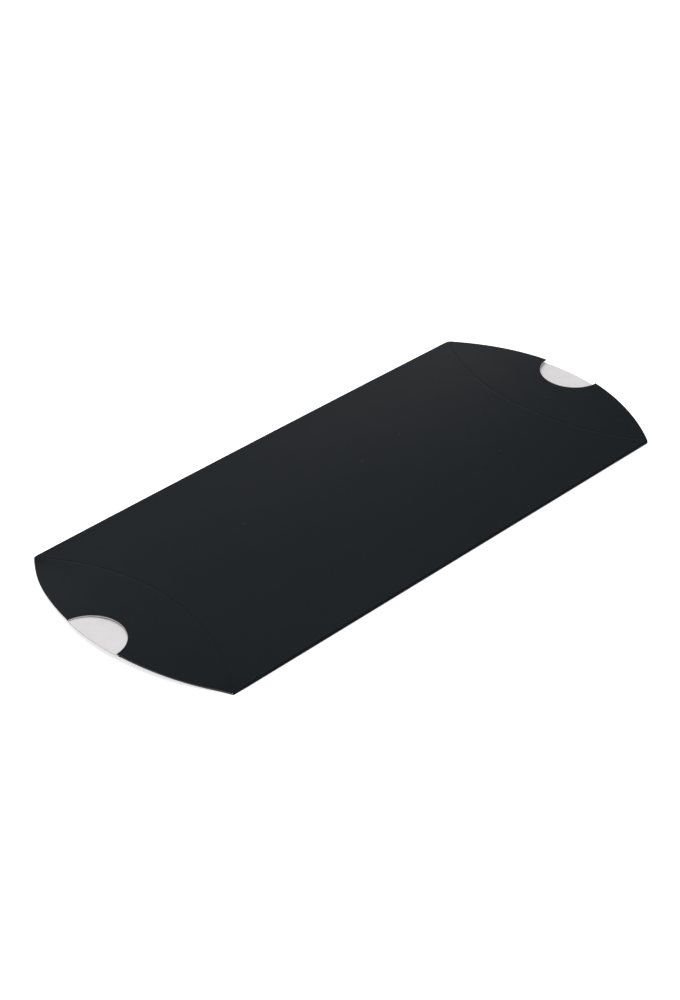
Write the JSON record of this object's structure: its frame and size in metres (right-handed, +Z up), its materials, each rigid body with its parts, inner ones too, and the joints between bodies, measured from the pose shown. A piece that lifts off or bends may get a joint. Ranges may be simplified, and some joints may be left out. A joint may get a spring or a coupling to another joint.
{
  "type": "pillow box",
  "caption": "Flat-packed pillow box of black board, white inside, with curved end flaps and thumb notches, that squeezes open into a lens-shaped tube.",
  "frame": {"origin": "centre of the flat box, on the surface that it lies on", "axes": "+X along the side folds, +Y across them towards the glued seam, +Z up out of the upper panel"},
  "size_m": [0.2636, 0.1094, 0.0014],
  "materials": {
    "black_board": "black printed board with a soft matt film",
    "white_inside": "uncoated white inside of the board",
    "dried_glue": "dried dispersion glue"
  },
  "bodies": {
    "lower_1": {"lower_panel_1": "black_board", "lower_left_flap_1": "black_board", "lower_right_flap_1": "black_board"},
    "lower_2": {"lower_panel_2": "black_board", "lower_left_flap_2": "black_board", "lower_right_flap_2": "black_board"},
    "lower_3": {"lower_panel_3": "black_board", "lower_left_flap_3": "black_board", "lower_right_flap_3": "black_board"},
    "lower_4": {"lower_panel_4": "black_board", "lower_left_flap_4": "black_board", "lower_right_flap_4": "black_board"},
    "lower_5": {"lower_panel_5": "black_board", "lower_left_flap_5": "black_board", "lower_right_flap_5": "black_board"},
    "lower_6": {"lower_panel_6": "black_board", "lower_left_flap_6": "black_board", "lower_right_flap_6": "black_board"},
    "lower_7": {"lower_panel_7": "black_board", "lower_left_flap_7": "black_board", "lower_right_flap_7": "black_board"},
    "upper_1": {"upper_panel_1": "black_board"},
    "upper_2": {"upper_panel_2": "black_board"},
    "upper_3": {"upper_panel_3": "black_board"},
    "upper_4": {"upper_panel_4": "black_board"},
    "upper_5": {"upper_panel_5": "black_board"},
    "upper_6": {"upper_panel_6": "black_board"},
    "upper_7": {"upper_panel_7": "black_board", "glue_flap": "white_inside", "seam_glue": "dried_glue"},
    "left_flap_1": {"upper_left_flap_1": "black_board"},
    "left_flap_2": {"upper_left_flap_2": "black_board"},
    "left_flap_3": {"upper_left_flap_3": "black_board"},
    "left_flap_4": {"upper_left_flap_4": "black_board"},
    "left_flap_5": {"upper_left_flap_5": "black_board"},
    "left_flap_6": {"upper_left_flap_6": "black_board"},
    "left_flap_7": {"upper_left_flap_7": "black_board"},
    "right_flap_1": {"upper_right_flap_1": "black_board"},
    "right_flap_2": {"upper_right_flap_2": "black_board"},
    "right_flap_3": {"upper_right_flap_3": "black_board"},
    "right_flap_4": {"upper_right_flap_4": "black_board"},
    "right_flap_5": {"upper_right_flap_5": "black_board"},
    "right_flap_6": {"upper_right_flap_6": "black_board"},
    "right_flap_7": {"upper_right_flap_7": "black_board"}
  },
  "joints": [
    {"name": "side_fold", "type": "hinge", "parent": "lower_1", "child": "upper_1", "pos_m": [0, -0.05427, 0.00072], "axis": [1, 0, 0], "range_deg": [0, 66]},
    {"name": "lower_bend_3", "type": "hinge", "parent": "lower_4", "child": "lower_3", "pos_m": [0, -0.00775, 0.0004], "axis": [1, 0, 0], "range_deg": [-11.01, 0]},
    {"name": "lower_bend_2", "type": "hinge", "parent": "lower_3", "child": "lower_2", "pos_m": [0, -0.02326, 0.0004], "axis": [1, 0, 0], "range_deg": [-11.01, 0]},
    {"name": "lower_bend_1", "type": "hinge", "parent": "lower_2", "child": "lower_1", "pos_m": [0, -0.03877, 0.0004], "axis": [1, 0, 0], "range_deg": [-11.01, 0]},
    {"name": "lower_bend_4", "type": "hinge", "parent": "lower_4", "child": "lower_5", "pos_m": [0, 0.00775, 0.0004], "axis": [1, 0, 0], "range_deg": [0, 11.01]},
    {"name": "lower_bend_5", "type": "hinge", "parent": "lower_5", "child": "lower_6", "pos_m": [0, 0.02326, 0.0004], "axis": [1, 0, 0], "range_deg": [0, 11.01]},
    {"name": "lower_bend_6", "type": "hinge", "parent": "lower_6", "child": "lower_7", "pos_m": [0, 0.03877, 0.0004], "axis": [1, 0, 0], "range_deg": [0, 11.01]},
    {"name": "upper_bend_1", "type": "hinge", "parent": "upper_1", "child": "upper_2", "pos_m": [0, -0.03877, 0.00105], "axis": [1, 0, 0], "range_deg": [-11.01, 0]},
    {"name": "upper_bend_2", "type": "hinge", "parent": "upper_2", "child": "upper_3", "pos_m": [0, -0.02326, 0.00105], "axis": [1, 0, 0], "range_deg": [-11.01, 0]},
    {"name": "upper_bend_3", "type": "hinge", "parent": "upper_3", "child": "upper_4", "pos_m": [0, -0.00775, 0.00105], "axis": [1, 0, 0], "range_deg": [-11.01, 0]},
    {"name": "upper_bend_4", "type": "hinge", "parent": "upper_4", "child": "upper_5", "pos_m": [0, 0.00775, 0.00105], "axis": [1, 0, 0], "range_deg": [-11.01, 0]},
    {"name": "upper_bend_5", "type": "hinge", "parent": "upper_5", "child": "upper_6", "pos_m": [0, 0.02326, 0.00105], "axis": [1, 0, 0], "range_deg": [-11.01, 0]},
    {"name": "upper_bend_6", "type": "hinge", "parent": "upper_6", "child": "upper_7", "pos_m": [0, 0.03877, 0.00105], "axis": [1, 0, 0], "range_deg": [-11.01, 0]},
    {"name": "left_flap_lift", "type": "hinge", "parent": "upper_4", "child": "left_flap_4", "pos_m": [-0.09554, 0, 0.00145], "axis": [0, -1, 0], "range_deg": [-20, 0]},
    {"name": "left_flap_lift_1", "type": "hinge", "parent": "upper_1", "child": "left_flap_1", "pos_m": [-0.10876, -0.04652, 0.00145], "axis": [-0.5217, -0.8531, 0], "range_deg": [-23.64, 0]},
    {"name": "left_flap_lift_2", "type": "hinge", "parent": "upper_2", "child": "left_flap_2", "pos_m": [-0.10114, -0.03101, 0.00145], "axis": [-0.3475, -0.9377, 0], "range_deg": [-21.4, 0]},
    {"name": "left_flap_lift_3", "type": "hinge", "parent": "upper_3", "child": "left_flap_3", "pos_m": [-0.0969, -0.01551, 0.00145], "axis": [-0.1737, -0.9848, 0], "range_deg": [-20.33, 0]},
    {"name": "left_flap_lift_5", "type": "hinge", "parent": "upper_5", "child": "left_flap_5", "pos_m": [-0.0969, 0.01551, 0.00145], "axis": [0.1737, -0.9848, 0], "range_deg": [-20.33, 0]},
    {"name": "left_flap_lift_6", "type": "hinge", "parent": "upper_6", "child": "left_flap_6", "pos_m": [-0.10114, 0.03101, 0.00145], "axis": [0.3475, -0.9377, 0], "range_deg": [-21.4, 0]},
    {"name": "left_flap_lift_7", "type": "hinge", "parent": "upper_7", "child": "left_flap_7", "pos_m": [-0.10876, 0.04652, 0.00145], "axis": [0.5217, -0.8531, 0], "range_deg": [-23.64, 0]},
    {"name": "right_flap_lift", "type": "hinge", "parent": "upper_4", "child": "right_flap_4", "pos_m": [0.09554, 0, 0.00145], "axis": [0, 1, 0], "range_deg": [-20, 0]},
    {"name": "right_flap_lift_1", "type": "hinge", "parent": "upper_1", "child": "right_flap_1", "pos_m": [0.10876, -0.04652, 0.00145], "axis": [-0.5217, 0.8531, 0], "range_deg": [-23.64, 0]},
    {"name": "right_flap_lift_2", "type": "hinge", "parent": "upper_2", "child": "right_flap_2", "pos_m": [0.10114, -0.03101, 0.00145], "axis": [-0.3475, 0.9377, 0], "range_deg": [-21.4, 0]},
    {"name": "right_flap_lift_3", "type": "hinge", "parent": "upper_3", "child": "right_flap_3", "pos_m": [0.0969, -0.01551, 0.00145], "axis": [-0.1737, 0.9848, 0], "range_deg": [-20.33, 0]},
    {"name": "right_flap_lift_5", "type": "hinge", "parent": "upper_5", "child": "right_flap_5", "pos_m": [0.0969, 0.01551, 0.00145], "axis": [0.1737, 0.9848, 0], "range_deg": [-20.33, 0]},
    {"name": "right_flap_lift_6", "type": "hinge", "parent": "upper_6", "child": "right_flap_6", "pos_m": [0.10114, 0.03101, 0.00145], "axis": [0.3475, 0.9377, 0], "range_deg": [-21.4, 0]},
    {"name": "right_flap_lift_7", "type": "hinge", "parent": "upper_7", "child": "right_flap_7", "pos_m": [0.10876, 0.04652, 0.00145], "axis": [0.5217, 0.8531, 0], "range_deg": [-23.64, 0]}
  ],
  "couplings": [
    {"joint": "lower_bend_3", "follows": "side_fold", "ratio": -0.16667},
    {"joint": "lower_bend_2", "follows": "side_fold", "ratio": -0.16667},
    {"joint": "lower_bend_1", "follows": "side_fold", "ratio": -0.16667},
    {"joint": "lower_bend_4", "follows": "side_fold", "ratio": 0.16667},
    {"joint": "lower_bend_5", "follows": "side_fold", "ratio": 0.16667},
    {"joint": "lower_bend_6", "follows": "side_fold", "ratio": 0.16667},
    {"joint": "upper_bend_1", "follows": "side_fold", "ratio": -0.16667},
    {"joint": "upper_bend_2", "follows": "side_fold", "ratio": -0.16667},
    {"joint": "upper_bend_3", "follows": "side_fold", "ratio": -0.16667},
    {"joint": "upper_bend_4", "follows": "side_fold", "ratio": -0.16667},
    {"joint": "upper_bend_5", "follows": "side_fold", "ratio": -0.16667},
    {"joint": "upper_bend_6", "follows": "side_fold", "ratio": -0.16667},
    {"joint": "left_flap_lift_1", "follows": "left_flap_lift", "ratio": 1.1817},
    {"joint": "left_flap_lift_2", "follows": "left_flap_lift", "ratio": 1.0696},
    {"joint": "left_flap_lift_3", "follows": "left_flap_lift", "ratio": 1.0161},
    {"joint": "left_flap_lift_5", "follows": "left_flap_lift", "ratio": 1.0161},
    {"joint": "left_flap_lift_6", "follows": "left_flap_lift", "ratio": 1.0696},
    {"joint": "left_flap_lift_7", "follows": "left_flap_lift", "ratio": 1.1817},
    {"joint": "right_flap_lift_1", "follows": "right_flap_lift", "ratio": 1.1817},
    {"joint": "right_flap_lift_2", "follows": "right_flap_lift", "ratio": 1.0696},
    {"joint": "right_flap_lift_3", "follows": "right_flap_lift", "ratio": 1.0161},
    {"joint": "right_flap_lift_5", "follows": "right_flap_lift", "ratio": 1.0161},
    {"joint": "right_flap_lift_6", "follows": "right_flap_lift", "ratio": 1.0696},
    {"joint": "right_flap_lift_7", "follows": "right_flap_lift", "ratio": 1.1817}
  ]
}
